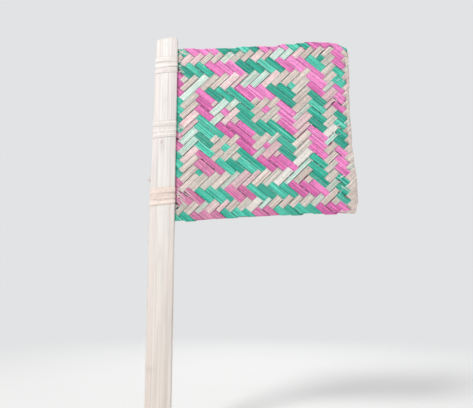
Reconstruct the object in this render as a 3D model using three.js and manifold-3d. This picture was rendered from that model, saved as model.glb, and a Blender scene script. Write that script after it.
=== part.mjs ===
// Woven bamboo hand fan: a mat of dyed and natural bamboo strips, plaited on the bias, is held in a
// split bamboo handle by three lashings of bamboo strip.
// Millimetres. X runs across the mat to the right, Y to the back and Z up along the handle.
// The origin is the centre of the handle's butt end.
import * as THREE from 'three';
import { mergeVertices } from 'three/addons/utils/BufferGeometryUtils.js';
import Module from 'manifold-3d';

const wasm = await Module();
wasm.setup();

// Strips of the mat
const DYED_WIDTH = 6.65;
const NATURAL_WIDTH = 6.25;
const STRIP_THICKNESS = 0.5;
const STRIP_GAP = 0.6; // beside the next strip of the same set
const LAYER_GAP = 0.3; // between a strip and the one that crosses it
const DYED_SLOPE = 39.8; // degrees, falling to the right
const NATURAL_SLOPE = 44.3; // degrees, rising to the right

// Outline of the mat, counted in half cells from the centre of the pattern
const CELLS_LEFT = 16.5;
const CELLS_IN_SLOT = 3; // of those to the left, inside the handle
const CELLS_RIGHT = 20.9;
const CELLS_UP_LEFT = 19.5;
const CELLS_UP_RIGHT = 18.1;
const CELLS_DOWN_LEFT = 18.7;
const CELLS_DOWN_RIGHT = 19.6;

// Weave: square rings about the centre in which the dyed strip lies in front, and four flowers
const DYED_RINGS = [[0, 9], [13, 15], [18, 19]];
const FLOWER_CENTRES = [[0, -4], [0, 4], [-4, 0], [4, 0]];
const FLOWER_PETALS = [1, 2];

// Bands of strips, in order. A joined band is one splint slit into strips near a corner of the mat.
const FIRST_DYED_ROW = -19;
const DYED_BANDS = [
  { colour: 'green', count: 1, joined: false },
  { colour: 'pink', count: 3, joined: true },
  { colour: 'green', count: 2, joined: true },
  { colour: 'pink', count: 3, joined: true },
  { colour: 'green', count: 4, joined: false },
  { colour: 'pink', count: 3, joined: false },
  { colour: 'green', count: 3, joined: false },
  { colour: 'pink', count: 3, joined: false },
  { colour: 'green', count: 4, joined: false },
  { colour: 'pink', count: 2, joined: false },
  { colour: 'green', count: 3, joined: true },
  { colour: 'pink', count: 3, joined: true },
  { colour: 'green', count: 2, joined: true },
];
const FIRST_NATURAL_COLUMN = -17;
const NATURAL_BANDS = [
  { colour: 'natural', count: 6, joined: true },
  { colour: 'natural', count: 25, joined: false },
  { colour: 'natural', count: 7, joined: true },
];
const TAB_LENGTH = 2.4; // of the web that still joins two strips of one splint
const TAB_THICKNESS = 0.4;
const TAB_LAP = 0.05; // how far the web reaches into each strip, in cells
const TAB_MARGIN = 1.5; // from the mat's edge

// Handle: one split bamboo stick with bevelled edges, slit from the top to take the mat
const HANDLE_LENGTH = 401;
const HANDLE_TOP_WIDTH = 22;
const HANDLE_GRIP_WIDTH = 25;
const HANDLE_THICKNESS = 9;
const BEVEL_WIDTH = 4.4;
const BEVEL_DEPTH = 1.6;
const TOP_SLANT = 4; // how much lower the top end is at its left edge
const SLOT_CLEARANCE = 0.3; // on each face of the mat
const SLOT_RUNOUT = 8; // below the mat
const MAT_DROP = 11; // of the mat's upper edge, below the handle's top

// Lashings: three flat strips wound round the handle and through slits in the mat
const LASHING_WIDTH = 5.3;
const LASHING_THICKNESS = 0.6;
const LASHING_PITCH = 5.9;
const LASHING_TURNS = 3;
const LASHING_CLEARANCE = 0.3; // from the handle and from the slit in the mat
const LASHING_EDGE = 0.25; // rounding of the strip's outer edges
const PINCHED_WIDTH = 2.6; // where a turn goes through the mat
const END_SHARE = 0.3; // of the back face, left free beside each end of a lashing
const LASHING_CELLS_TOP = 4.15; // half cells below the mat's upper edge
const LASHING_CELLS_BOTTOM = 4.9; // half cells above the mat's lower edge

// Steps of a lashing's turn along each edge of the handle's section, from the back face round
const EDGE_STEPS = [5, 2, 3, 2, 5, 2, 3, 2];
const RIGHT_SIDE = 6; // edge of the section where the mat leaves the handle

const COLOURS = {
  green: 0x3ab89c,
  pink: 0xee6fc0,
  natural: 0xdccfc2,
  handle: 0xf2ece6,
  lashing: 0xf0eae2,
};

// Cells of the weave
const radians = THREE.MathUtils.degToRad;
const crossing = Math.sin(radians(DYED_SLOPE + NATURAL_SLOPE));
const dyedPitch = DYED_WIDTH + STRIP_GAP;
const naturalPitch = NATURAL_WIDTH + STRIP_GAP;
const columnStep = new THREE.Vector2(Math.cos(radians(DYED_SLOPE)), -Math.sin(radians(DYED_SLOPE)));
columnStep.multiplyScalar(naturalPitch / crossing);
const rowStep = new THREE.Vector2(-Math.cos(radians(NATURAL_SLOPE)), -Math.sin(radians(NATURAL_SLOPE)));
rowStep.multiplyScalar(dyedPitch / crossing);
const layerLevel = (STRIP_THICKNESS + LAYER_GAP) / 2;
const matHalf = layerLevel + STRIP_THICKNESS / 2;

// Offset of a lattice point from the centre of the pattern
function cellOffset(column, row) {
  return new THREE.Vector2().addScaledVector(columnStep, column).addScaledVector(rowStep, row);
}

// Offset of a point counted in half cells to the right and up
function halfCellOffset(right, up) {
  return cellOffset((right - up) / 2, (-right - up) / 2);
}

const matCorners = [
  halfCellOffset(-CELLS_LEFT, -CELLS_DOWN_LEFT),
  halfCellOffset(CELLS_RIGHT, -CELLS_DOWN_RIGHT),
  halfCellOffset(CELLS_RIGHT, CELLS_UP_RIGHT),
  halfCellOffset(-CELLS_LEFT, CELLS_UP_LEFT),
];

// Height of an edge of the mat where it goes into the handle
function heightAt(from, to, x) {
  return from.y + ((to.y - from.y) * (x - from.x)) / (to.x - from.x);
}

const mouth = halfCellOffset(CELLS_IN_SLOT - CELLS_LEFT, 0).x;
const upperEdge = heightAt(matCorners[3], matCorners[2], mouth);
const lowerEdge = heightAt(matCorners[0], matCorners[1], mouth);
const matTop = HANDLE_LENGTH - MAT_DROP;
const matBottom = matTop - (upperEdge - lowerEdge);
const handleRight = HANDLE_GRIP_WIDTH / 2;
const matCentre = new THREE.Vector2(handleRight - mouth, matTop - upperEdge);

// Left edge of the handle at a height: it slopes in beside the mat and is straight below it
function handleLeft(z) {
  const share = THREE.MathUtils.clamp((z - matBottom) / (HANDLE_LENGTH - matBottom), 0, 1);
  return handleRight - THREE.MathUtils.lerp(HANDLE_GRIP_WIDTH, HANDLE_TOP_WIDTH, share);
}

// Outline of the handle's section, anticlockwise from above, from the right end of the back face
function handleSection(left) {
  const half = HANDLE_THICKNESS / 2;
  const side = half - BEVEL_DEPTH;
  const flatLeft = left + BEVEL_WIDTH;
  const flatRight = handleRight - BEVEL_WIDTH;
  const corners = [
    [flatRight, half], [flatLeft, half], [left, side], [left, -side],
    [flatLeft, -half], [flatRight, -half], [handleRight, -side], [handleRight, side],
  ];
  return corners.map(([x, y]) => new THREE.Vector2(x, y));
}

// Closed solid through a list of rings that have the same number of points
function loft(rings) {
  const sides = rings[0].length;
  const positions = rings.flat().flatMap((point) => point.toArray());
  const faces = [];
  for (let ring = 0; ring + 1 < rings.length; ring += 1) {
    for (let side = 0; side < sides; side += 1) {
      const here = ring * sides + side;
      const next = ring * sides + ((side + 1) % sides);
      faces.push(here, next, next + sides, here, next + sides, here + sides);
    }
  }
  const last = (rings.length - 1) * sides;
  for (let side = 1; side + 1 < sides; side += 1) {
    faces.push(0, side + 1, side, last, last + side, last + side + 1);
  }
  return outward(positions, faces);
}

// Geometry whose faces point out, whichever way round its rings ran
function outward(positions, faces) {
  const corner = (index) => new THREE.Vector3().fromArray(positions, index * 3);
  let volume = 0;
  for (let face = 0; face < faces.length; face += 3) {
    const [a, b, c] = [0, 1, 2].map((step) => corner(faces[face + step]));
    volume += a.dot(b.cross(c));
  }
  const geometry = new THREE.BufferGeometry();
  geometry.setAttribute('position', new THREE.Float32BufferAttribute(positions, 3));
  geometry.setIndex(volume < 0 ? faces.reverse() : faces);
  return geometry;
}

// Solid with a front outline in X and Z, as thick as asked about the mat's middle plane
function plate(outline, thickness) {
  const shape = new THREE.Shape(outline);
  const geometry = new THREE.ExtrudeGeometry(shape, { depth: thickness, bevelEnabled: false });
  return geometry.rotateX(Math.PI / 2).translate(0, thickness / 2, 0);
}

function toSolid(geometry) {
  const bare = geometry.clone();
  bare.deleteAttribute('normal');
  bare.deleteAttribute('uv');
  const merged = mergeVertices(bare);
  const vertProperties = new Float32Array(merged.attributes.position.array);
  const triVerts = new Uint32Array(merged.index.array);
  return new wasm.Manifold(new wasm.Mesh({ numProp: 3, vertProperties, triVerts }));
}

function toGeometry(solid) {
  const mesh = solid.getMesh();
  const geometry = new THREE.BufferGeometry();
  geometry.setAttribute('position', new THREE.Float32BufferAttribute(mesh.vertProperties, 3));
  geometry.setIndex(Array.from(mesh.triVerts));
  return geometry;
}

// Convex outline moved out by a distance, with mitred corners
function offsetOutline(corners, distance) {
  return corners.map((corner, index) => {
    const before = corners.at(index - 1);
    const after = corners[(index + 1) % corners.length];
    const normals = [corner.clone().sub(before), after.clone().sub(corner)].map(outwardNormal);
    const middle = normals[0].clone().add(normals[1]).normalize();
    return corner.clone().addScaledVector(middle, distance / middle.dot(normals[0]));
  });
}

function outwardNormal(edge) {
  return new THREE.Vector2(edge.y, -edge.x).normalize();
}

// One turn of a lashing as seen from above: its points, in order, and the strip's width at each
function lashingTurn(corners) {
  const turn = [];
  const pinch = matHalf + SLOT_CLEARANCE;
  corners.forEach((from, index) => {
    const to = corners[(index + 1) % corners.length];
    const sideLength = from.distanceTo(to);
    const pinchShares = [0, 0.5 - pinch / sideLength, 0.5 + pinch / sideLength];
    const shares = index === RIGHT_SIDE ? pinchShares : evenShares(EDGE_STEPS[index]);
    shares.forEach((share, step) => {
      const pinched = index === RIGHT_SIDE && step > 0;
      const width = pinched ? PINCHED_WIDTH : LASHING_WIDTH;
      turn.push({ place: from.clone().lerp(to, share), width, pinched });
    });
  });
  return turn;
}

function evenShares(steps) {
  return Array.from({ length: steps }, (_, step) => step / steps);
}

// Stations of one lashing from its first end to its last, both on the handle's back face
function lashingStations(height) {
  const lowest = height - ((LASHING_TURNS + 1) * LASHING_PITCH) / 2;
  const offset = LASHING_CLEARANCE + LASHING_THICKNESS / 2;
  const corners = offsetOutline(handleSection(handleLeft(lowest)), offset);
  const turn = lashingTurn(corners);
  const turns = Array.from({ length: LASHING_TURNS }, () => turn).flat();
  const firstEnd = { ...turn[0], place: corners[0].clone().lerp(corners[1], END_SHARE) };
  const lastEnd = { ...turn[0], place: corners[0].clone().lerp(corners[1], 1 - END_SHARE) };
  const stations = [firstEnd, ...turns.slice(EDGE_STEPS[0]), turn[0], lastEnd];
  return climb(stations, turn, height);
}

// Heights that rise evenly along the strip, so that the turns on the front lie about the given height
function climb(stations, turn, height) {
  const turnLength = pathLength([...turn, turn[0]]);
  const total = pathLength(stations);
  let travelled = 0;
  return stations.map((station, index) => {
    travelled += index === 0 ? 0 : station.place.distanceTo(stations[index - 1].place);
    const rise = ((travelled - total / 2) / turnLength) * LASHING_PITCH;
    return { ...station, height: height + rise };
  });
}

function pathLength(stations) {
  const steps = stations.slice(1).map((station, index) => station.place.distanceTo(stations[index].place));
  return steps.reduce((sum, step) => sum + step, 0);
}

// Ring of six points across the lashing strip, flat inside and with eased edges outside
function lashingRing(stations, index) {
  const { place, width, height } = stations[index];
  const ahead = stations[Math.min(index + 1, stations.length - 1)].place;
  const behind = stations[Math.max(index - 1, 0)].place;
  const normals = [];
  if (index > 0) normals.push(outwardNormal(place.clone().sub(behind)));
  if (index + 1 < stations.length) normals.push(outwardNormal(ahead.clone().sub(place)));
  const middle = normals.reduce((sum, normal) => sum.add(normal), new THREE.Vector2()).normalize();
  middle.divideScalar(middle.dot(normals[0]));
  const inner = -LASHING_THICKNESS / 2;
  const shoulder = LASHING_THICKNESS / 2 - LASHING_EDGE;
  const outer = LASHING_THICKNESS / 2;
  const half = width / 2;
  const profile = [
    [inner, -half], [inner, half], [shoulder, half],
    [outer, half - LASHING_EDGE], [outer, LASHING_EDGE - half], [shoulder, -half],
  ];
  return profile.map(([out, up]) => {
    const spot = place.clone().addScaledVector(middle, out);
    return new THREE.Vector3(spot.x, spot.y, height + up);
  });
}

// Least distance between points of the strip that lie at least half a turn apart along it
function leastSelfGap(rings, halfTurn) {
  let least = Infinity;
  rings.forEach((ring, index) => {
    const others = rings.slice(index + halfTurn).flat();
    ring.forEach((point) => {
      others.forEach((other) => {
        least = Math.min(least, point.distanceTo(other));
      });
    });
  });
  return least;
}

// Slits in the mat, one for each place where a turn of a lashing goes through
function lashingSlits(stations) {
  const slits = [];
  stations.forEach((station, index) => {
    if (!station.pinched || !stations[index + 1].pinched) return;
    const half = new THREE.Vector2(
      LASHING_THICKNESS / 2 + LASHING_CLEARANCE,
      PINCHED_WIDTH / 2 + LASHING_CLEARANCE,
    );
    const next = stations[index + 1];
    const middle = new THREE.Vector2(station.place.x, (station.height + next.height) / 2);
    slits.push(rectangle(middle.clone().sub(half), middle.clone().add(half)));
  });
  return slits;
}

function rectangle(low, high) {
  return [low, new THREE.Vector2(high.x, low.y), high, new THREE.Vector2(low.x, high.y)];
}

function dyedInFront(column, row) {
  const ring = Math.abs(column) + Math.abs(row);
  const between = (value, [low, high]) => value >= low && value <= high;
  const inPetal = FLOWER_CENTRES.some(([flowerColumn, flowerRow]) => {
    const distance = Math.abs(column - flowerColumn) + Math.abs(row - flowerRow);
    return between(distance, FLOWER_PETALS);
  });
  return !inPetal && DYED_RINGS.some((limits) => between(ring, limits));
}

// The two sets of strips. Each says where its strips run, and which of their crossings lie in front.
const dyedSet = {
  offset: (along, across) => cellOffset(along, across),
  inFront: (along, across) => dyedInFront(along, across),
  halfWidth: DYED_WIDTH / dyedPitch / 2,
  halfGap: STRIP_GAP / naturalPitch / 2,
  tabLength: TAB_LENGTH / naturalPitch,
};
const naturalSet = {
  offset: (along, across) => cellOffset(across, along),
  inFront: (along, across) => !dyedInFront(across, along),
  halfWidth: NATURAL_WIDTH / naturalPitch / 2,
  halfGap: STRIP_GAP / dyedPitch / 2,
  tabLength: TAB_LENGTH / dyedPitch,
};

// Ring of four points across a strip
function stripRing(set, along, across, halfWidth, level, thickness) {
  const corners = [[-1, -1], [1, -1], [1, 1], [-1, 1]];
  return corners.map(([side, face]) => {
    const spot = set.offset(along, across + side * halfWidth).add(matCentre);
    return new THREE.Vector3(spot.x, level + (face * thickness) / 2, spot.y);
  });
}

// Whole run of one strip: flat over each crossing, with its steps between the strips that it crosses
function stripRun(set, across) {
  const level = (along) => (set.inFront(along, across) ? -layerLevel : layerLevel);
  const ring = (along, height) => stripRing(set, along, across, set.halfWidth, height, STRIP_THICKNESS);
  const rings = [ring(-runCells, level(-runCells))];
  for (let along = -runCells; along < runCells; along += 1) {
    if (level(along) !== level(along + 1)) {
      rings.push(ring(along + 0.5 - set.halfGap, level(along)));
      rings.push(ring(along + 0.5 + set.halfGap, level(along + 1)));
    }
  }
  rings.push(ring(runCells, level(runCells)));
  return toSolid(loft(rings));
}

// Web that joins a strip to the next one of its splint, over a crossing where both lie alike
function splintTab(set, across) {
  const alike = (along) => set.inFront(along, across) === set.inFront(along, across + 1);
  const inside = (along) => insideMat(set.offset(along, across + 0.5).add(matCentre));
  const choices = Array.from({ length: 2 * runCells }, (_, index) => index - runCells);
  const found = choices.filter((along) => alike(along) && inside(along));
  const along = found[Math.floor(found.length / 2)];
  const level = set.inFront(along, across) ? -layerLevel : layerLevel;
  const halfWidth = 0.5 - set.halfWidth + TAB_LAP;
  const ends = [along - set.tabLength / 2, along + set.tabLength / 2];
  const rings = ends.map((end) => stripRing(set, end, across + 0.5, halfWidth, level, TAB_THICKNESS));
  return toSolid(loft(rings));
}

function insideMat(point) {
  return matOutline.every((corner, index) => {
    const edge = matOutline[(index + 1) % matOutline.length].clone().sub(corner);
    return outwardNormal(edge).dot(point.clone().sub(corner)) < -TAB_MARGIN;
  });
}

// Strips and splints of one set, each cut to the mat's outline
function weaveSet(set, bands, firstStrip) {
  let strip = firstStrip;
  let number = 1;
  bands.forEach(({ colour, count, joined }) => {
    const strips = Array.from({ length: count }, (_, index) => strip + index);
    if (joined) {
      const tabs = strips.slice(0, -1).map((across) => splintTab(set, across));
      const runs = strips.map((across) => stripRun(set, across));
      const splint = [...runs, ...tabs].reduce((whole, piece) => whole.add(piece)).intersect(matBlank);
      addPiece(`${colour}_splint_${pad(number)}_to_${pad(number + count - 1)}`, toGeometry(splint), colour);
    } else {
      strips.forEach((across, index) => {
        const run = stripRun(set, across).intersect(matBlank);
        addPiece(`${colour}_strip_${pad(number + index)}`, toGeometry(run), colour);
      });
    }
    strip += count;
    number += count;
  });
}

function pad(number) {
  return String(number).padStart(2, '0');
}

// Handle with its slanted top and the slot that the mat sits in
function handleGeometry() {
  const level = (height) => {
    return handleSection(handleLeft(height)).map(({ x, y }) => new THREE.Vector3(x, y, height));
  };
  const top = level(HANDLE_LENGTH).map((corner) => {
    const drop = (TOP_SLANT * (handleRight - corner.x)) / HANDLE_TOP_WIDTH;
    return corner.setZ(HANDLE_LENGTH - drop);
  });
  const stick = toSolid(loft([level(0), level(matBottom), top]));
  const low = new THREE.Vector2(-HANDLE_GRIP_WIDTH, matBottom - SLOT_RUNOUT);
  const high = new THREE.Vector2(HANDLE_GRIP_WIDTH, HANDLE_LENGTH + SLOT_RUNOUT);
  const slot = toSolid(plate(rectangle(low, high), 2 * (matHalf + SLOT_CLEARANCE)));
  return toGeometry(stick.subtract(slot));
}

const fan = new THREE.Group();
fan.name = 'woven_hand_fan';

function addPiece(name, geometry, colour) {
  const material = new THREE.MeshStandardMaterial({ color: COLOURS[colour], roughness: 0.6, metalness: 0 });
  const mesh = new THREE.Mesh(geometry, material);
  mesh.name = name;
  fan.add(mesh);
}

addPiece('split_handle', handleGeometry(), 'handle');

const halfCellHeight = halfCellOffset(0, 1).y;
const topHeight = matTop - LASHING_CELLS_TOP * halfCellHeight;
const bottomHeight = matBottom + LASHING_CELLS_BOTTOM * halfCellHeight;
const lashings = {
  lashing_top: lashingStations(topHeight),
  lashing_middle: lashingStations((topHeight + bottomHeight) / 2),
  lashing_bottom: lashingStations(bottomHeight),
};
const stepsInTurn = EDGE_STEPS.reduce((sum, steps) => sum + steps, 0);
Object.entries(lashings).forEach(([name, stations]) => {
  const rings = stations.map((_, index) => lashingRing(stations, index));
  addPiece(name, loft(rings), 'lashing');
  const gap = leastSelfGap(rings, stepsInTurn / 2);
  console.log(`${name}: least gap to itself ${gap.toFixed(2)} mm`);
});

const matOutline = matCorners.map((corner) => corner.clone().add(matCentre));
const slits = Object.values(lashings).flatMap(lashingSlits);
const blankThickness = 4 * matHalf;
const slitSolids = slits.map((outline) => toSolid(plate(outline, 2 * blankThickness)));
const wholeBlank = toSolid(plate(matOutline, blankThickness));
const matBlank = slitSolids.reduce((blank, slit) => blank.subtract(slit), wholeBlank);
const runCells = Math.ceil(CELLS_RIGHT) + 1;

weaveSet(dyedSet, DYED_BANDS, FIRST_DYED_ROW);
weaveSet(naturalSet, NATURAL_BANDS, FIRST_NATURAL_COLUMN);

export default fan;
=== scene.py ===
"""Woven bamboo hand fan: a mat of dyed and natural bamboo strips held in a split handle by lashings."""
import math
import random

import bpy
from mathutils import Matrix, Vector, noise


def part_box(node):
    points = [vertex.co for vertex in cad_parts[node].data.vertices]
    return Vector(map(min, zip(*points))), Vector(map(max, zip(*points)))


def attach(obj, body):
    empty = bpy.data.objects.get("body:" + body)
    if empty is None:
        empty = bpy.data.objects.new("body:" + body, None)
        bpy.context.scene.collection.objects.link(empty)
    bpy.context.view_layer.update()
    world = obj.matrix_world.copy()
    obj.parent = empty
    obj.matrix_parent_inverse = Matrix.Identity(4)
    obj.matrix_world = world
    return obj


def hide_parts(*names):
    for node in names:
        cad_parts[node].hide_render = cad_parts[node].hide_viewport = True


bl_info = {
    "name": "Woven bamboo hand fan",
    "version": (1, 0, 0),
    "blender": (4, 5, 0),
    "location": "3D View > Sidebar > Fan",
    "description": "Builds a hand fan plaited from dyed bamboo strips, on its packed CAD frame",
    "category": "Add Mesh",
}

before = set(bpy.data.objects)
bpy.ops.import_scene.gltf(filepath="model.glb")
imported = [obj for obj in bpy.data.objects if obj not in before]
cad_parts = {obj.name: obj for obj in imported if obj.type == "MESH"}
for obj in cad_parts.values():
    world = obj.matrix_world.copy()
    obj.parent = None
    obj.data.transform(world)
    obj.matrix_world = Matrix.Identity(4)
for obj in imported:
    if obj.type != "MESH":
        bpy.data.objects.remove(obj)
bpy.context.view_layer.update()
handle_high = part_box("split_handle")[1]

MM = 0.001  # sizes are worked out in millimetres and the meshes are in metres


def linear(hex_colour):
    """Linear colour with alpha, from an sRGB hex value."""
    shares = [int(hex_colour[place:place + 2], 16) / 255 for place in (1, 3, 5)]
    return tuple(
        share / 12.92 if share <= 0.04045 else ((share + 0.055) / 1.055) ** 2.4 for share in shares
    ) + (1.0,)


def length(name, description, millimetres):
    return bpy.props.FloatProperty(
        name=name, description=description, default=millimetres * MM, min=0, precision=5, unit="LENGTH"
    )


def slope(name, description, degrees):
    return bpy.props.FloatProperty(
        name=name, description=description, default=math.radians(degrees), subtype="ANGLE"
    )


def colour(name, description, hex_colour):
    return bpy.props.FloatVectorProperty(
        name=name, description=description, default=linear(hex_colour), size=4, min=0, max=1,
        subtype="COLOR",
    )


class FanMatSizes(bpy.types.PropertyGroup):
    """Sizes of the plaited mat."""

    dyed_pitch: length("Dyed pitch", "From one dyed strip to the next", 7.25)
    natural_pitch: length("Natural pitch", "From one natural strip to the next", 6.85)
    dyed_slope: slope("Dyed slope", "Fall of the dyed strips to the right", 39.8)
    natural_slope: slope("Natural slope", "Rise of the natural strips to the right", 44.3)
    strip_gap: length("Strip gap", "Usual gap between two strips that lie side by side", 0.26)
    strip_thickness: length("Strip thickness", "Thickness of a strip", 0.42)
    layer_level: length("Layer level", "From the middle of the mat to the middle of a strip", 0.43)
    tail: length("Tail", "Length of a strip's end that is folded to the back", 13)
    centre_height: length("Centre height", "Height of the pattern's centre over the butt end", 302.51)


class FanHandleSizes(bpy.types.PropertyGroup):
    """Sizes of the split handle."""

    grip_width: length("Grip width", "Width below the mat", 25)
    top_width: length("Top width", "Width at the top end", 22)
    thickness: length("Thickness", "Front to back", 9)
    left_bevel: length("Left bevel", "Width of the cut along the left edge", 6.3)
    right_bevel: length("Right bevel", "Width of the cut along the right edge", 5.3)
    bevel_depth: length("Bevel depth", "Depth of the cuts at the edges", 1.2)
    top_slant: length("Top slant", "How much lower the top is at its left edge", 4)
    slot_half: length("Half slot", "Half the width of the slot for the mat", 0.95)
    slot_foot: length("Slot foot", "Height at which the slot ends", 200.7)


class FanLashingSizes(bpy.types.PropertyGroup):
    """Sizes of the lashings."""

    width: length("Width", "Width of the lashing strip", 5.95)
    pinched: length("Pinched width", "Width where a turn goes through the mat", 2.8)
    thickness: length("Thickness", "Thickness of the lashing strip", 0.26)
    pitch: length("Pitch", "Rise of one turn", 5.9)


class FanColours(bpy.types.PropertyGroup):
    """Colours of the strips, the handle and the lashings."""

    green_deep: colour("Deep green", "Dyed strip, dark", "#2AAE95")
    green_mid: colour("Mid green", "Dyed strip", "#3AC4A8")
    green_light: colour("Light green", "Dyed strip, pale", "#56DCC0")
    green_streak: colour("Green streak", "Fibres of a green strip", "#177464")
    pink_deep: colour("Deep pink", "Dyed strip, dark", "#E06AB0")
    pink_mid: colour("Mid pink", "Dyed strip", "#F683C8")
    pink_light: colour("Light pink", "Dyed strip, pale", "#FF94D6")
    pink_aged: colour("Aged pink", "Dyed strip that has dulled", "#DC7BAA")
    pink_worn: colour("Worn pink", "Dyed strip that has browned", "#D587A6")
    pink_streak: colour("Pink streak", "Fibres of a pink strip", "#AE4F8B")
    straw: colour("Straw", "Natural strip", "#E1D2C9")
    straw_streak: colour("Straw streak", "Fibres of a natural strip", "#A08F88")
    blush: colour("Blush", "Natural strip that took up some pink", "#F1DCD7")
    blush_streak: colour("Blush streak", "Fibres of a blushed strip", "#D99FB0")
    rose: colour("Rose", "Natural strip that took up more pink", "#E2C6C6")
    rose_streak: colour("Rose streak", "Fibres of a rose strip", "#BC869A")
    mint: colour("Mint", "Natural strip with green fibres", "#E0EDE5")
    mint_streak: colour("Mint streak", "Fibres of a mint strip", "#5DBBA2")
    reed: colour("Reed", "Grey natural strip with green fibres", "#CDD0C6")
    reed_streak: colour("Reed streak", "Fibres of a reed strip", "#7FAC9E")
    white: colour("White", "Palest natural strip", "#F4F0EA")
    white_streak: colour("White streak", "Fibres of a pale strip", "#BDB8B0")
    sage: colour("Sage", "Greyish natural strip", "#D6CFC5")
    sage_streak: colour("Sage streak", "Fibres of a greyish strip", "#9D968D")
    skin: colour("Skin", "Outer face of the handle", "#F2EEEA")
    cut: colour("Cut", "Bevelled sides of the handle", "#EEE6E2")
    grip: colour("Grip", "Handle where hands have worn it", "#E7D9CE")
    # The grain colour also gives the painted shade on the faces of the slot
    grain: colour("Grain", "Fibres and cracks of the handle", "#BFAEA1")
    stain: colour("Stain", "Brown spots on the handle", "#9A7868")
    lashing: colour("Lashing", "Bamboo strip of the lashings", "#F6EEE9")
    lashing_worn: colour("Worn lashing", "Bamboo strip of the lowest lashing", "#F6E3D8")
    lashing_streak: colour("Lashing streak", "Fibres of the lashings", "#BBACA3")
    floor: colour("Floor", "Paper on the floor", "#F0F0EF")
    backdrop: colour("Backdrop", "Plain pale ground behind the fan", "#E2E3E4")


# Names of the strips' tones, in order, from the first row and the first column of the weave
FIRST_ROW = -19
ROW_TONES = (
    "green_light pink_light pink_mid pink_mid green_mid green_light pink_light pink_light pink_mid "
    "green_deep green_light green_mid green_deep pink_light pink_light pink_mid green_mid green_mid "
    "green_deep pink_mid pink_deep pink_deep green_mid green_light green_deep green_light pink_aged "
    "pink_aged green_mid green_light green_mid pink_worn pink_worn pink_worn green_mid green_mid"
).split()
FIRST_COLUMN = -17
COLUMN_TONES = (
    "straw straw straw blush rose sage straw mint sage straw blush rose mint mint blush "
    "straw straw straw sage sage straw reed rose rose straw sage white mint straw straw sage "
    "sage reed straw sage straw straw straw"
).split()
NARROW_ROWS, WIDE_ROWS = (-13, 9), (-14, -12, 4, 8)
NARROW_COLUMNS, WIDE_COLUMNS = (-6, 4, 6, 10), (1, 9, 14)

# CAD nodes that hold several strips each, by their first and last number
DYED_SPLINTS = ((2, 4), (5, 6), (7, 9), (29, 31), (32, 34), (35, 36))
NATURAL_SPLINTS = ((1, 6), (32, 38))

# Weave: square rings about the centre in which the dyed strip lies in front, and four flowers
DYED_RINGS = ((0, 9), (13, 15), (18, 19))
FLOWER_CENTRES = ((0, -4), (0, 4), (-4, 0), (4, 0))
MOUTH_CELLS = -13.5  # half cells from the centre of the pattern to the handle's right edge

# Outline of the mat in millimetres, x and z, clockwise from its upper left corner in the slot
TOP_EDGE = (
    (-4, 389.5), (44, 389.8), (75, 390.5), (94, 392.3), (113, 392.8), (123, 395.2), (151, 396),
    (171, 395.6),
)
RIGHT_EDGE = (
    (182, 394), (191, 388.3), (190.6, 350), (190.6, 318), (191.6, 287), (193.6, 262), (195.2, 249),
)
LOWER_EDGE = (
    (195.4, 222), (192.5, 214), (177, 215.4), (153, 214.8), (107, 212.6), (69, 210.5), (40, 208.4),
    (-2.6, 206),
)

# Tears where a lashing goes through the mat or wear has opened it: place x and z of a strip's edge,
# length along the strip and depth from its edge, in millimetres
TEARS = (
    (15, 374, 5, 1.5), (14.5, 366, 6, 1.8), (15.5, 360.5, 5, 1.4), (19, 385.5, 8, 0.7),
    (15, 304.5, 5, 1.4), (16.5, 299, 6, 1.2), (15, 293, 5, 1.6), (18, 288, 6, 0.7), (18.5, 238, 4, 1.9),
    (15, 232, 6, 1.6), (14.5, 226, 6, 1.7), (21, 233, 8, 1.0), (24.5, 236, 9, 0.8), (16, 220.5, 5, 1.1),
    (45, 265.5, 17, 0.5), (39.5, 270.2, 2.2, 1.1), (51, 260.4, 2.2, 1.1), (178, 279.5, 13, 0.9),
    (172, 285, 5, 0.7), (177, 336, 8, 1.0), (172, 331, 6, 1.0), (181, 328, 7, 1.0), (175, 299, 5, 1.2),
    (179, 303.5, 5, 1.2), (184, 232.5, 6, 1.6), (184, 219, 6, 1.5), (180, 250, 5, 1.2),
    (177, 238, 8, 0.8), (147, 389, 9, 0.6), (161, 386, 9, 0.6), (104, 389.5, 8, 0.6), (97, 388, 9, 0.6),
    (139, 252, 14, 0.5), (120, 351, 10, 0.5), (88, 268, 9, 0.5), (60, 337, 10, 0.5), (152, 305, 8, 0.6),
)
# Stations along a tear, in half lengths, and the share of these in which it opens
TEAR_MARKS = (-1, -0.93, -0.82, -0.7, -0.3, 0.3, 0.62, 0.7, 0.9, 1)
TEAR_OPENS = 0.35

# Section of a strip: place across it, from -1 to 1, and height over its middle, from -1 to 1
STRIP_SECTION = (
    (-1, -0.8), (-1, 0.5), (-0.97, 0.9), (-0.93, 1), (0.93, 1), (0.97, 0.9), (1, 0.5), (1, -0.8),
)
STEP_MARKS = (-0.08, -0.03, 0.02, 0.07, 0.12, 0.18)  # stations at a step, in cells, towards its back
STEP_BEFORE, STEP_AFTER = 0.07, 0.16  # cells over which a strip goes down, before and after an edge
SHEAR_REACH = 1.6  # cells before a fold in which a strip's stations turn to lie along the edge
SHEAR_STEPS = 14  # stations in that reach
LEAST_STEP = 0.0005  # cells between two stations, so that no face is flat
SCALLOP = 1.4  # millimetres by which the folds along the top and lower edges may differ
# The painted shade along a strip's edges starts at the same place
EDGE_START = 0.93  # place across a strip where its rounded edge starts

# Bow of the mat: where it starts beside the handle, over which reach it grows, and the depth and reach of
# its waves up and along the mat, in millimetres
BOW_START, BOW_REACH = 4, 170
BOW_UP, BOW_ALONG, BOW_PHASE = (0.5, 38), (0.35, 21), 1.3

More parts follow.
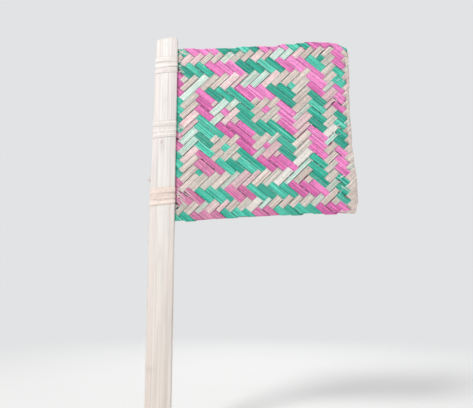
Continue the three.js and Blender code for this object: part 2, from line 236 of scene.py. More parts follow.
# Ends of the strips, in millimetres where nothing else is said
CUT_BACK = 1.3  # from the outline to a cut end
CORNER_TURN = 0.96  # least cosine between the outline under a strip's two edges at a folded end
HEM_INSET = 1.4  # of the dyed folds behind the undyed hem of the right edge
HEM_START, HEM_REACH = 176, 9  # where the hem starts, and over which length it spreads
HEM_SPREAD = 0.2  # share by which an undyed strip is wider in the hem
HEM_LEAN = 0.2  # by which it leans over its neighbour
FOLD_STEPS = 6
TAIL_MARKS = (0.1, 0.3, 0.5, 0.65, 0.76, 0.86, 0.94, 1.0)  # shares of a folded tail
DYED_BACK, NATURAL_BACK = 1.15, 2.0  # levels of the tails behind the mat, in strip thicknesses

# Strength of the dark fibres, of the pale ones and of the specks
DYED_LOOK = (0.62, 0.14, 1.5)
UNDYED_LOOK = (0.55, 0.2, 1.25)
LASHING_LOOK = (0.3, 0.1, 0.6)
UNDYED_MATERIAL = "undyed split bamboo"


def smooth(share):
    share = min(max(share, 0.0), 1.0)
    return share * share * (3 - 2 * share)


def blend(low, high, share):
    return low + (high - low) * share


def wobble(place, seed, reach):
    """Smooth chance value from -1 to 1 that changes over the given reach."""
    return noise.noise(Vector((place / reach, seed * 7.31, seed * 3.17)))


class Weave:
    """Lattice of the mat: where each strip runs, how wide it is and which one lies in front."""

    def __init__(self, sizes):
        crossing = math.sin(sizes.dyed_slope + sizes.natural_slope)
        column_step = Vector((math.cos(sizes.dyed_slope), -math.sin(sizes.dyed_slope)))
        row_step = Vector((-math.cos(sizes.natural_slope), -math.sin(sizes.natural_slope)))
        self.column_step = column_step * (sizes.natural_pitch / MM / crossing)
        self.row_step = row_step * (sizes.dyed_pitch / MM / crossing)
        self.rows = strip_edges(FIRST_ROW, len(ROW_TONES), NARROW_ROWS, WIDE_ROWS, 11)
        self.columns = strip_edges(FIRST_COLUMN, len(COLUMN_TONES), NARROW_COLUMNS, WIDE_COLUMNS, 23)
        # The first dyed strip is a sliver at the upper right corner, and the last undyed one ends at the
        # lower right corner
        self.rows[FIRST_ROW], self.rows[FIRST_ROW + 1] = -18.52, -18.22
        self.columns[FIRST_COLUMN + len(COLUMN_TONES)] = 20.2
        self.gap = sizes.strip_gap / MM
        self.thickness = sizes.strip_thickness / MM
        self.layer = sizes.layer_level / MM
        self.tail = sizes.tail / MM
        corners = [Vector(corner) for corner in (*TOP_EDGE, *RIGHT_EDGE, *LOWER_EDGE)]
        self.outline = list(zip(corners, corners[1:] + corners[:1]))
        mouth = (self.column_step - self.row_step) * MOUTH_CELLS / 2
        self.centre = Vector((handle_high.x / MM - mouth.x, sizes.centre_height / MM))
        self.tears = []
        for x, z, long, deep in TEARS:
            column, row = self.locate(Vector((x, z)))
            dyed = self.side(True, round(column), round(row)) < 0
            self.tears.append((dyed, (column, row) if dyed else (row, column), long, deep))

    def locate(self, spot):
        """Column and row of a place on the mat, in cells."""
        away, right, down = spot - self.centre, self.column_step, self.row_step
        size = right.x * down.y - right.y * down.x
        return (away.x * down.y - away.y * down.x) / size, (right.x * away.y - right.y * away.x) / size

    def place(self, dyed, along, across):
        column, row = (along, across) if dyed else (across, along)
        return self.centre + self.column_step * column + self.row_step * row

    def steps(self, dyed):
        return (self.column_step, self.row_step) if dyed else (self.row_step, self.column_step)

    def edge(self, dyed, index):
        return (self.rows if dyed else self.columns).get(index, index - 0.5)

    def side(self, dyed, along, across):
        """-1 where the strip lies in front, towards -Y, and 1 where it lies behind."""
        column, row = (along, across) if dyed else (across, along)
        ring = abs(column) + abs(row)
        in_ring = any(low <= ring <= high for low, high in DYED_RINGS)
        petals = [abs(column - at[0]) + abs(row - at[1]) in (1, 2) for at in FLOWER_CENTRES]
        dyed_in_front = in_ring and not any(petals) or row == FIRST_ROW
        return -1 if dyed_in_front == dyed else 1

    def level(self, dyed, along, strip):
        """Level of a strip between -1, front, and 1, back."""
        cell = round(along)
        while along < self.edge(not dyed, cell):
            cell -= 1
        while along >= self.edge(not dyed, cell + 1):
            cell += 1
        here = self.side(dyed, cell, strip)
        before = along - self.edge(not dyed, cell)
        after = self.edge(not dyed, cell + 1) - along
        level = here
        for distance, neighbour in ((before, cell - 1), (after, cell + 1)):
            if self.side(dyed, neighbour, strip) != here:
                down = smooth((distance * here + STEP_BEFORE) / (STEP_BEFORE + STEP_AFTER))
                level = max((level, blend(-1, 1, down)), key=lambda value: abs(value - here))
        return level

    def stations(self, dyed, strip, first, last, tears):
        """Places along a strip between two others, closer together at a tear and from front to back."""
        marks = [along + reach * mark for _, along, reach, _ in tears for mark in TEAR_MARKS]
        for cell in range(math.floor(first) - 1, math.ceil(last) + 2):
            edge = self.edge(not dyed, cell)
            turn = self.side(dyed, cell, strip) - self.side(dyed, cell - 1, strip)
            marks += [edge + 0.35, edge + 0.65]
            marks += [edge + mark * turn / 2 for mark in STEP_MARKS] if turn else [edge]
        near = [SHEAR_REACH * step / SHEAR_STEPS for step in range(1, SHEAR_STEPS + 1)]
        marks += [first + distance for distance in near] + [last - distance for distance in near]
        marks = sorted(mark for mark in marks if first < mark < last)
        return [mark for before, mark in zip([first, *marks], marks) if mark - before > LEAST_STEP]

    def hit(self, dyed, across, line):
        """Place along a strip where the line at this place across it meets an edge of the mat."""
        start, normal = line
        along_step = self.steps(dyed)[0]
        return normal.dot(start - self.place(dyed, 0, across)) / normal.dot(along_step)

    def end(self, dyed, across, middle, direction):
        """Where a line along a strip meets the mat's outline, and that edge as a point and a normal."""
        met = []
        for start, stop in self.outline:
            run = stop - start
            normal = Vector((-run.y, run.x)).normalized()
            if abs(normal.dot(self.steps(dyed)[0])) < 1e-6:
                continue
            along = self.hit(dyed, across, (start, normal))
            share = (self.place(dyed, along, across) - start).dot(run) / run.length_squared
            if -1e-6 <= share <= 1 + 1e-6:
                met.append((along * direction, (start, normal)))
        if not met and abs(across - middle) < 0.01:
            raise RuntimeError(f"the strip at {middle} meets no edge of the mat")
        if not met:  # at a corner, where the strip is cut back towards its middle
            return self.end(dyed, blend(across, middle, 0.25), middle, direction)
        along, line = max(met, key=lambda item: item[0])
        return along * direction, line


def strip_edges(first, count, narrow, wide, seed):
    """Edges between neighbouring strips, in cells, moved a little so that no two strips are alike."""
    chance = random.Random(seed)
    edges = {index: index - 0.5 + chance.uniform(-0.05, 0.05) for index in range(first, first + count + 1)}
    for index in narrow:
        edges[index] += 0.12
        edges[index + 1] -= 0.12
    for index in wide:
        edges[index] -= 0.06
        edges[index + 1] += 0.06
    return edges


class StripEnd:
    """One end of a strip: cut inside the handle or at a corner, or folded over an edge of the mat."""

    def __init__(self, weave, dyed, strip, limits, direction, chance):
        self.weave, self.dyed, self.direction = weave, dyed, direction
        middle = sum(limits) / 2
        self.along, line = weave.end(dyed, middle, middle, direction)
        outer = [weave.end(dyed, across, middle, direction)[1][1] for across in limits]
        in_handle = weave.place(dyed, self.along, middle).x < handle_high.x / MM
        at_corner = min(normal.dot(line[1]) for normal in outer) < CORNER_TURN
        self.folded = not in_handle and not at_corner
        self.line, self.middle = line, middle
        along_step = weave.steps(dyed)[0]
        self.cut_back = 0.0 if in_handle else direction * CUT_BACK / along_step.length
        if self.folded:
            level = weave.level(dyed, self.along - 0.2 * direction, strip) * weave.layer
            self.start_level = level
            self.tail_level = weave.layer + weave.thickness * (DYED_BACK if dyed else NATURAL_BACK)
            self.radius = (self.tail_level - level) / 2
            inward = self.radius + weave.thickness / 2 + chance.uniform(-0.45, 0.55)
            if dyed and line[1].x > 0.9:  # behind the undyed hem of the right edge
                inward += HEM_INSET
            if abs(line[1].y) > 0.9:  # scallops along the top and lower edges, undyed folds behind
                inward += SCALLOP * (wobble(strip, 60, 0.37) if dyed else 0.5)
            self.line = (line[0] - line[1] * inward, line[1])
            self.along = weave.hit(dyed, middle, self.line)
            self.tail = weave.tail * chance.uniform(0.75, 1.25)

    def shear(self, across):
        """How much further along the strip its end lies at this place across it than in the middle."""
        if self.folded:
            return self.weave.hit(self.dyed, across, self.line) - self.along
        end = self.weave.end(self.dyed, across, self.middle, self.direction)[0]
        return end - self.along - self.cut_back

    def share(self, along):
        """How far a station near this end has turned to lie along the edge, from 0 to 1."""
        return smooth(1 - abs(self.along - along) / SHEAR_REACH)


def strip_rings(weave, dyed, strip, seed):
    """Rings of points along one strip, and for each point its place in the grain, its painted shade and
    its faded dye.
    """
    chance = random.Random(seed)
    low, high = weave.edge(dyed, strip), weave.edge(dyed, strip + 1)
    along_step, across_step = weave.steps(dyed)
    # The undyed strips stand off their neighbours on their lower right, so that a shadow shows there, over
    # the painted shade of the strip beneath
    wider = (0.3, 0.7, 1.3, 2.3) if dyed else (0.8, 1.4, 2, 2.6, 3.2)
    low += weave.gap * chance.choice((0.1, 0.2, 0.5)) / across_step.length
    high -= weave.gap * chance.choice(wider) / across_step.length
    middle, half = (low + high) / 2, (high - low) / 2
    limits = (middle - half, middle + half)
    ends = [StripEnd(weave, dyed, strip, limits, direction, chance) for direction in (-1, 1)]
    tilt = chance.uniform(-0.05, 0.05)
    pitch = abs(along_step.x * across_step.y - along_step.y * across_step.x) / along_step.length
    tears = []
    for torn, (along, across), long, deep in weave.tears:
        if torn == dyed and weave.edge(dyed, strip) <= across < weave.edge(dyed, strip + 1):
            side = 1 if across > middle else -1
            tears.append((side, along, long / 2 / along_step.length, deep / pitch))
    lane = middle, half
    inner = weave.stations(dyed, strip, ends[0].along, ends[1].along, tears)
    body = [
        body_ring(weave, dyed, strip, station, lane, ends, tears, tilt, seed)
        for station in (ends[0].along, *inner, ends[1].along)
    ]
    before, after = [tail_rings(weave, end, lane, seed) if end.folded else [] for end in ends]
    return before[::-1] + body + after


def body_ring(weave, dyed, strip, station, lane, ends, tears, tilt, seed):
    """Ring across a strip where it lies in the mat."""
    middle, half = lane
    along_step, across_step = weave.steps(dyed)
    ring = []
    widened = hem(dyed, weave.place(dyed, station, middle).x)
    half *= 1 + HEM_SPREAD * widened
    torn = {-1: 0.0, 1: 0.0}
    for edge, place, reach, deep in tears:
        opened = smooth((1 - abs(station - place) / reach) / TEAR_OPENS)
        torn[edge] = max(torn[edge], deep * opened * (1 + 0.3 * wobble(station, seed + edge, 0.4)))
    for side, height in STRIP_SECTION:
        reach = half - torn[1 if side > 0 else -1]
        across = middle + side * reach
        along = station + sum(end.share(station) * end.shear(across) for end in ends)
        level = weave.level(dyed, along, strip) * weave.layer
        for end in ends:
            if end.folded:
                level = blend(level, end.start_level, smooth(1.4 - abs(end.along - station) / 0.5))
        # Painted shade: a face that lies behind the other layer of strips is marked as covered, and the
        # material darkens its colour for it
        covered_painted_shade = smooth(0.5 + math.copysign(0.5, height) * level / weave.layer)
        spot = weave.place(dyed, along, across + 0.035 * wobble(along, seed, 5))
        free = smooth((spot.x - handle_high.x / MM) / 8)
        for end in ends:
            free *= smooth(abs(end.along - station))
        level += free * (0.09 * wobble(along, seed + 400, 1.7) + tilt * side)
        level += mat_bow(spot) - HEM_LEAN * widened * side
        point = Vector((spot.x, level - height * weave.thickness / 2, spot.y))
        grain = (side * reach * across_step.length, along * along_step.length, seed)
        wear = (covered_painted_shade, painted_edge_shade(side), faded(dyed, along, seed, spot.x))
        ring.append((point, grain, wear))
    return ring


def painted_edge_shade(side):
    """Painted shade along a strip's edges: 1 at its edges and 0 on its faces."""
    return max(0.0, (abs(side) - EDGE_START) / (1 - EDGE_START))


def hem(dyed, x):
    """How far an undyed strip has spread over its neighbour to close the hem along the right edge."""
    return 0.0 if dyed else smooth((x - HEM_START) / HEM_REACH)


def faded(dyed, along, seed, x):
    """How far an undyed strip has faded to straw: in long stretches, and fully at the right edge."""
    return 0.0 if dyed else max(smooth(0.2 + 1.2 * wobble(along, seed + 900, 3)), hem(dyed, x))


def mat_bow(spot):
    """Slight bow of the whole mat, nothing at the handle."""
    out = smooth((spot.x - handle_high.x / MM - BOW_START) / BOW_REACH)
    (up, up_reach), (along, along_reach) = BOW_UP, BOW_ALONG
    return out * (up * math.sin(spot.y / up_reach) + along * math.sin(spot.x / along_reach + BOW_PHASE))


def tail_rings(weave, end, lane, seed):
    """Rings of a strip's end as it goes round the edge and along the back to its tucked tip."""
    middle, half = lane
    along_step, across_step = weave.steps(end.dyed)
    run = along_step.normalized() * end.direction
    normal = end.line[1]
    out = run.dot(normal)
    slide = run - normal * out
    turned = math.pi * end.radius / out
    spread = hem(end.dyed, weave.place(end.dyed, end.along, middle).x)
    half *= 1 + HEM_SPREAD * spread
    stations = [("fold", math.pi * step / FOLD_STEPS) for step in range(1, FOLD_STEPS + 1)]
    stations += [("tail", share) for share in TAIL_MARKS]
    rings = []
    for kind, value in stations:
        ring = []
        for side, height in STRIP_SECTION:
            across = middle + side * half
            start = weave.place(end.dyed, end.along + end.shear(across), across)
            late = end.shear(across) * along_step.length * end.direction
            if kind == "fold":
                gone = end.radius * value / out
                flat = start + slide * gone + normal * (end.radius * math.sin(value))
                level = end.start_level + end.radius * (1 - math.cos(value))
                facing = Vector((normal.x * math.sin(value), -math.cos(value), normal.y * math.sin(value)))
            else:
                gone = turned + value * (end.tail - late)
                flat = start + slide * gone - normal * (out * (gone - turned))
                tucked = smooth((value - 0.62) / 0.34)
                level = blend(end.tail_level, weave.layer * 0.75, tucked)
                facing = Vector((0, 1, 0))
            lean = HEM_LEAN * spread * side * (math.cos(value) if kind == "fold" else -1)
            middle_point = Vector((flat.x, level + mat_bow(flat) - lean, flat.y))
            point = middle_point + facing * (height * weave.thickness / 2)
            place = end.along * along_step.length + end.direction * (gone + late)
            grain = (side * half * across_step.length, place, seed)
            fade = faded(end.dyed, place / along_step.length, seed, flat.x)
            ring.append((point, grain, (0.0, painted_edge_shade(side), fade)))
        rings.append(ring)
    return rings


def loft(rings):
    """Points and faces of a solid through rings that have the same number of points, facing outward."""
    sides = len(rings[0])
    points = [point for ring in rings for point in ring]
    faces = []
    for ring in range(len(rings) - 1):
        for side in range(sides):
            here, beside = ring * sides + side, ring * sides + (side + 1) % sides
            face = (here, beside, beside + sides, here + sides)
            # Front and back start at the same edge, so that both split along the same diagonal
            faces.append(face if side < sides / 2 else face[1:] + face[:1])
    last = (len(rings) - 1) * sides
    faces.append(tuple(reversed(range(sides))))
    faces.append(tuple(range(last, last + sides)))
    volume = 0.0
    for face in faces:
        corners = [points[index][0] for index in face]
        for second, third in zip(corners[1:], corners[2:]):
            volume += corners[0].dot(second.cross(third))
    if volume < 0:  # each face is turned over and keeps its first corner, and so its diagonal
        faces = [face[:1] + face[:0:-1] for face in faces]
    return points, faces


def make_piece(name, parts, material, nodes=(), sharp=35):
    """Object from solids, each its points with their grain, their wear and painted light, its faces and a
    pair of tones.
    """
    places, faces, grains, wear_and_light_values, tones, streaks = [], [], [], [], [], []
    for (points, part_faces), tone, streak in parts:
        faces += [tuple(index + len(places) for index in face) for face in part_faces]
        for point, grain, wear in points:
            places.append(point * MM)
            grains += grain
            wear_and_light_values += wear
            tones += tone
            streaks += streak
    mesh = bpy.data.meshes.new(name)
    mesh.from_pydata(places, [], faces)
    mesh.shade_smooth()
    mesh.set_sharp_from_angle(angle=math.radians(sharp))
    for title, kind, key, values in (
        ("grain", "FLOAT_VECTOR", "vector", grains), ("wear", "FLOAT_VECTOR", "vector", wear_and_light_values),
        ("tone", "FLOAT_COLOR", "color", tones), ("streak", "FLOAT_COLOR", "color", streaks),
    ):
        mesh.attributes.new(title, kind, "POINT").data.foreach_set(key, values)
    mesh.materials.append(material)
    piece = bpy.data.objects.new(name, mesh)
    bpy.context.scene.collection.objects.link(piece)
    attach(piece, "root")
    if nodes:
        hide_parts(*nodes)
    return piece


def add_node(tree, kind, inputs=None, **settings):
    """Outputs of a new shader node with its settings, its inputs set to values or linked to sockets."""
    node = tree.nodes.new(f"ShaderNode{kind}")
    for key, value in settings.items():
        setattr(node, key, value)
    for key, value in (inputs or {}).items():
        if isinstance(value, bpy.types.NodeSocket):
            tree.links.new(value, node.inputs[key])
        else:
            node.inputs[key].default_value = value
    return node.outputs


def new_material(name):
    material = bpy.data.materials.new(name)
    material.use_nodes = True
    tree = material.node_tree
    tree.nodes.clear()
    return material, tree


def strip_material(name, colours, look):
    """Split bamboo: long straight fibres in the colour and a dull sheen, with painted shade along the cut
    edges and where a strip goes under others.
    """
    made = bpy.data.materials.get(name)
    if made:
        return made
    line_strength, pale_strength, speck_strength = look
    material, tree = new_material(name)
    grain = add_node(tree, "Attribute", attribute_name="grain")["Vector"]
    tone = add_node(tree, "Attribute", attribute_name="tone")["Color"]
    streak = add_node(tree, "Attribute", attribute_name="streak")["Color"]
    wear = add_node(tree, "Attribute", attribute_name="wear")["Vector"]
    wear = add_node(tree, "SeparateXYZ", {0: wear})

    # Noise drawn out along the strip: width and length of its marks in millimetres, and their detail.
    # The fibres are drawn about a millimetre and a half apart, coarser than real ones, so that they show.
    layers = []
    for across, along, detail in ((0.5, 70, 0), (1.3, 120, 0), (0.5, 2.4, 1), (8, 18, 2)):
        scaled = add_node(
            tree, "VectorMath", {0: grain, 1: (1 / across, 1 / along, 3.7)}, operation="MULTIPLY"
        )[0]
        layers.append(add_node(
            tree, "TexNoise", {"Vector": scaled, "Scale": 1.0, "Detail": detail, "Roughness": 0.55}
        ))
    fine, seams, specks, patches = layers
    fine_dark = add_node(tree, "MapRange", {0: fine["Fac"], 1: 0.5, 2: 0.6, 4: line_strength})[0]
    fine_pale = add_node(tree, "MapRange", {0: fine["Fac"], 1: 0.46, 2: 0.34, 4: pale_strength})[0]
    seam = add_node(tree, "Math", {0: seams["Fac"], 1: 0.5}, operation="SUBTRACT")[0]
    seam = add_node(tree, "Math", {0: seam}, operation="ABSOLUTE")[0]
    seam = add_node(tree, "MapRange", {0: seam, 1: 0.07, 2: 0.02, 4: 0.5})[0]
    dark = add_node(tree, "Math", {0: fine_dark, 1: seam}, operation="MAXIMUM")[0]

    # Colour: dye that fades to plain straw, pale and dark fibres, and specks and patches of uneven dye
    faded = add_node(tree, "Mix", {0: wear["Z"], 6: tone, 7: colours.straw}, data_type="RGBA")[2]
    pale = add_node(tree, "Mix", {0: fine_pale, 6: faded, 7: (1, 1, 1, 1)}, data_type="RGBA")[2]
    fibred = add_node(tree, "Mix", {0: dark, 6: pale, 7: streak}, data_type="RGBA")[2]
    specked = add_node(tree, "Mix", {0: 0.18, 6: specks["Fac"], 7: specks["Color"]}, data_type="RGBA")[2]
    specked = add_node(
        tree, "VectorMath", {0: specked, 1: [speck_strength] * 3, 2: [1.03 - speck_strength / 2] * 3},
        operation="MULTIPLY_ADD",
    )[0]
    fibred = add_node(tree, "VectorMath", {0: fibred, 1: specked}, operation="MULTIPLY")[0]
    uneven = add_node(
        tree, "MapRange",
        {0: patches["Fac"], 1: 0.25, 2: 0.75, 3: 1 - 0.1 * speck_strength, 4: 1 + 0.08 * speck_strength},
    )[0]
    # Painted shade where a strip lies under the other layer: its colour drops to 0.22 of itself
    tucked = add_node(tree, "MapRange", {0: wear["X"], 3: 1.0, 4: 0.22})[0]
    # Painted shade along the edges of strips and lashings: their colour drops to three quarters of itself
    edge = add_node(tree, "MapRange", {0: wear["Y"], 3: 1.0, 4: 0.75})[0]
    shade = add_node(tree, "Math", {0: tucked, 1: edge}, operation="MULTIPLY")[0]
    shade = add_node(tree, "Math", {0: shade, 1: uneven}, operation="MULTIPLY")[0]
    base = add_node(tree, "VectorMath", {0: fibred, "Scale": shade}, operation="SCALE")[0]
    rough = add_node(tree, "MapRange", {0: dark, 3: 0.51, 4: 0.65})[0]
    bump = add_node(
        tree, "Bump", {"Height": dark, "Strength": 0.35, "Distance": 0.12 * MM}, invert=True
    )[0]
    shader = add_node(
        tree, "BsdfPrincipled",
        {"Base Color": base, "Roughness": rough, "Normal": bump, "IOR": 1.5, "Specular IOR Level": 0.3},
    )
    add_node(tree, "OutputMaterial", {"Surface": shader[0]})
    return material


def tones_of(colours, tone):
    """Linear colours of a strip and of its fibres, from the name of its tone."""
    return tuple(getattr(colours, tone)), tuple(getattr(colours, tone.split("_")[0] + "_streak"))


def strip_groups(count, splints):
    """Numbers of the strips that each CAD node holds."""
    groups, number = [], 1
    starts = dict(splints)
    while number <= count:
        last = starts.get(number, number)
        groups.append(range(number, last + 1))
        number = last + 1
    return groups


def node_name(family, group):
    if len(group) == 1:
        return f"{family}_strip_{group[0]:02d}"
    return f"{family}_splint_{group[0]:02d}_to_{group[-1]:02d}"


def plait(context, dyed):
    """Make one piece for each CAD node of the dyed or of the undyed strips."""
    weave, colours = Weave(context.scene.fan_mat), context.scene.fan_colours
    tones, splints = (ROW_TONES, DYED_SPLINTS) if dyed else (COLUMN_TONES, NATURAL_SPLINTS)
    first, first_seed = (FIRST_ROW, 1) if dyed else (FIRST_COLUMN, 101)
    for group in strip_groups(len(tones), splints):
        family = tones[group[0] - 1].split("_")[0] if dyed else "natural"
        parts = []
        for number in group:
            rings = strip_rings(weave, dyed, number - 1 + first, number - 1 + first_seed)
            parts.append((loft(rings), *tones_of(colours, tones[number - 1])))
        title = f"{family} dyed split bamboo" if dyed else UNDYED_MATERIAL
        look = DYED_LOOK if dyed else UNDYED_LOOK
        node = node_name(family, group)
        make_piece(f"{node}_plaited", parts, strip_material(title, colours, look), [node])
    return {"FINISHED"}


class FAN_OT_dyed_strips(bpy.types.Operator):
    """Plait the green and pink strips, which fall to the right"""

    bl_idname = "fan.dyed_strips"
    bl_label = "Dyed strips"

    def execute(self, context):
        return plait(context, True)


class FAN_OT_natural_strips(bpy.types.Operator):
    """Plait the undyed strips, which rise to the right"""

    bl_idname = "fan.natural_strips"
    bl_label = "Natural strips"

    def execute(self, context):
        return plait(context, False)


# Marks on the handle: height, place across it, reach up and across, in millimetres, and strength
HANDLE_STAINS = (
    (283, -0.8, 5.5, 1.7, 0.24), (288.2, -1.8, 1.3, 1.1, 0.6), (66, -9, 3, 5, 0.16),
    (120, 6, 16, 1.5, 0.16), (175, -1, 12, 1.6, 0.16), (332, 1.2, 5, 1.2, 0.14),
)
HANDLE_STEPS = 66  # rings of the handle below the foot of the slot, and as many above it
# Painted shade: the faces of the slot are darkened, as a narrow recess would be
SLOT_PAINTED_SHADE = 0.4  # how dark the faces of the slot are, as a share of a crease


def handle_left(sizes, height):
    """Left edge of the handle, which slopes in beside the mat."""
    foot = sizes.slot_foot / MM + 8
    share = min(max((height - foot) / (handle_high.z / MM - foot), 0), 1)
    return handle_high.x / MM - blend(sizes.grip_width, sizes.top_width, share) / MM


def handle_face(sizes, height):
    """Points of the handle's front from left to right: x, depth, a share of skin, and a mark that is 1 for
    a dark line along an edge and -1 for a painted highlight.
    """
    left = handle_left(sizes, height) + 0.2 * wobble(height, 1, 26)
    right = handle_high.x / MM - 0.15 - 0.2 * wobble(height, 2, 31)
    half = sizes.thickness / MM / 2 + 0.08 * wobble(height, 3, 40)
    side = half - sizes.bevel_depth / MM
    bevel_left = left + sizes.left_bevel / MM + 0.55 * wobble(height, 4, 33)
    bevel_right = right - sizes.right_bevel / MM + 0.5 * wobble(height, 5, 37)
    ridge = 0.12 + 0.08 * wobble(height, 6, 18)
    # The last value is a mark: 1 for a dark line along a bevel's edge, less at the rounded corners, and -1
    # for a painted highlight
    points = [
        (left, side - 0.5, 0, 0), (left + 0.12, side - 0.15, 0, 0.3), (left + 0.45, side + 0.02, 0, 0),
        (blend(left, bevel_left, 0.35), blend(side, half, 0.42) + 0.05, 0, 0),
        (blend(left, bevel_left, 0.7), blend(side, half, 0.74) + 0.02, 0, 0),
        (bevel_left - 0.4, half - ridge - 0.12, 0, 0.35), (bevel_left, half - ridge, 0.4, 1),
        # A mark of -1 is a painted highlight, a pale line beside the left bevel
        (bevel_left + 0.35, half, 1, 0), (bevel_left + 1.2, half + 0.03, 1, -1),
        (bevel_left + 2.2, half + 0.06, 1, 0),
    ]
    for share in (0.3, 0.45, 0.6, 0.75):
        crown = 0.14 * (1 - (2 * share - 1) ** 2)
        points.append((blend(bevel_left, bevel_right, share), half + crown, 1, 0))
    points += [
        (bevel_right - 0.35, half, 1, 0), (bevel_right, half - ridge, 0.4, 1),
        (bevel_right + 0.4, half - ridge - 0.12, 0, 0.35),
        (blend(right, bevel_right, 0.6), blend(side, half, 0.64) + 0.02, 0, 0),
        # A mark of -1 is a painted highlight, a pale line near the right edge
        (blend(right, bevel_right, 0.3), blend(side, half, 0.36) + 0.04, 0, -1),
        (right - 0.45, side + 0.02, 0, 0), (right - 0.12, side - 0.15, 0, 0.3), (right, side - 0.5, 0, 0),
    ]
    return points


def handle_top(sizes, across):
    """Height of the handle's cut top, which rises to the right and drops a little at the last corner."""
    left, right, top = handle_left(sizes, handle_high.z / MM), handle_high.x / MM, handle_high.z / MM
    peak = right - 1.3
    if across < peak:
        return top - sizes.top_slant / MM * (peak - across) / (peak - left)
    return top - 0.9 * (across - peak) / (right - peak)


def handle_marks_and_painted_light(height, across, skin, line_and_painted_light):
    stain = 0.0
    for at, beside, up, over, strength in HANDLE_STAINS:
        stain += strength * math.exp(-(((height - at) / up) ** 2) - ((across - beside) / over) ** 2)
    return (skin, line_and_painted_light, min(stain, 1.0))


def handle_ring(sizes, height):
    """Points round the handle from its left along the front, with two at each mouth of the slot."""
    face = handle_face(sizes, height)
    slot, foot, top = sizes.slot_half / MM, sizes.slot_foot / MM, handle_high.z / MM
    left, right = face[0][0], face[-1][0]
    # Painted shade on the faces of the slot
    slot_painted_shade = SLOT_PAINTED_SHADE if height >= foot else 0.0
    outline = [(x, -depth, skin, line_and_painted_light) for x, depth, skin, line_and_painted_light in face]
    outline += [(right, -slot, 0, slot_painted_shade), (right, slot, 0, slot_painted_shade)]
    outline += [(x, depth, skin, line_and_painted_light) for x, depth, skin, line_and_painted_light in reversed(face)]
    outline += [(left, slot, 0, slot_painted_shade), (left, -slot, 0, slot_painted_shade)]
    risen = max(0.0, (height - foot) / (top - foot))
    ring = []
    for x, y, skin, line_and_painted_light in outline:
        at = height + risen * (handle_top(sizes, x) - top)
        ring.append((Vector((x, y, at)), (x, at, y), handle_marks_and_painted_light(at, x, skin, line_and_painted_light)))
    return ring


def handle_solid(sizes):
    """Points and faces of the handle in one solid, whose two halves part at the foot of the slot."""
    foot, top = sizes.slot_foot / MM, handle_high.z / MM
    shares = [step / HANDLE_STEPS for step in range(HANDLE_STEPS + 1)]
    heights = [foot * share for share in shares] + [blend(foot, top, share) for share in shares[1:]]
    rings = [handle_ring(sizes, height) for height in heights]
    count = len(rings[0])
    mouth = count // 2 - 2
    front, back = [*range(mouth + 1), count - 1], [*range(mouth + 1, count - 1)]
    faces = [tuple(reversed(range(count)))]
    for level, height in enumerate(heights[:-1]):
        for loop in (front, back) if height >= foot else (range(count),):
            for here, beside in zip(loop, [*loop[1:], loop[0]]):
                low = level * count
                faces.append((low + here, low + beside, low + beside + count, low + here + count))
    floor, last = HANDLE_STEPS * count, (len(rings) - 1) * count
    faces.append(tuple(floor + index for index in (count - 1, mouth, mouth + 1, count - 2)))
    faces += [tuple(last + index for index in loop) for loop in (front, back)]
    return [point for ring in rings for point in ring], faces


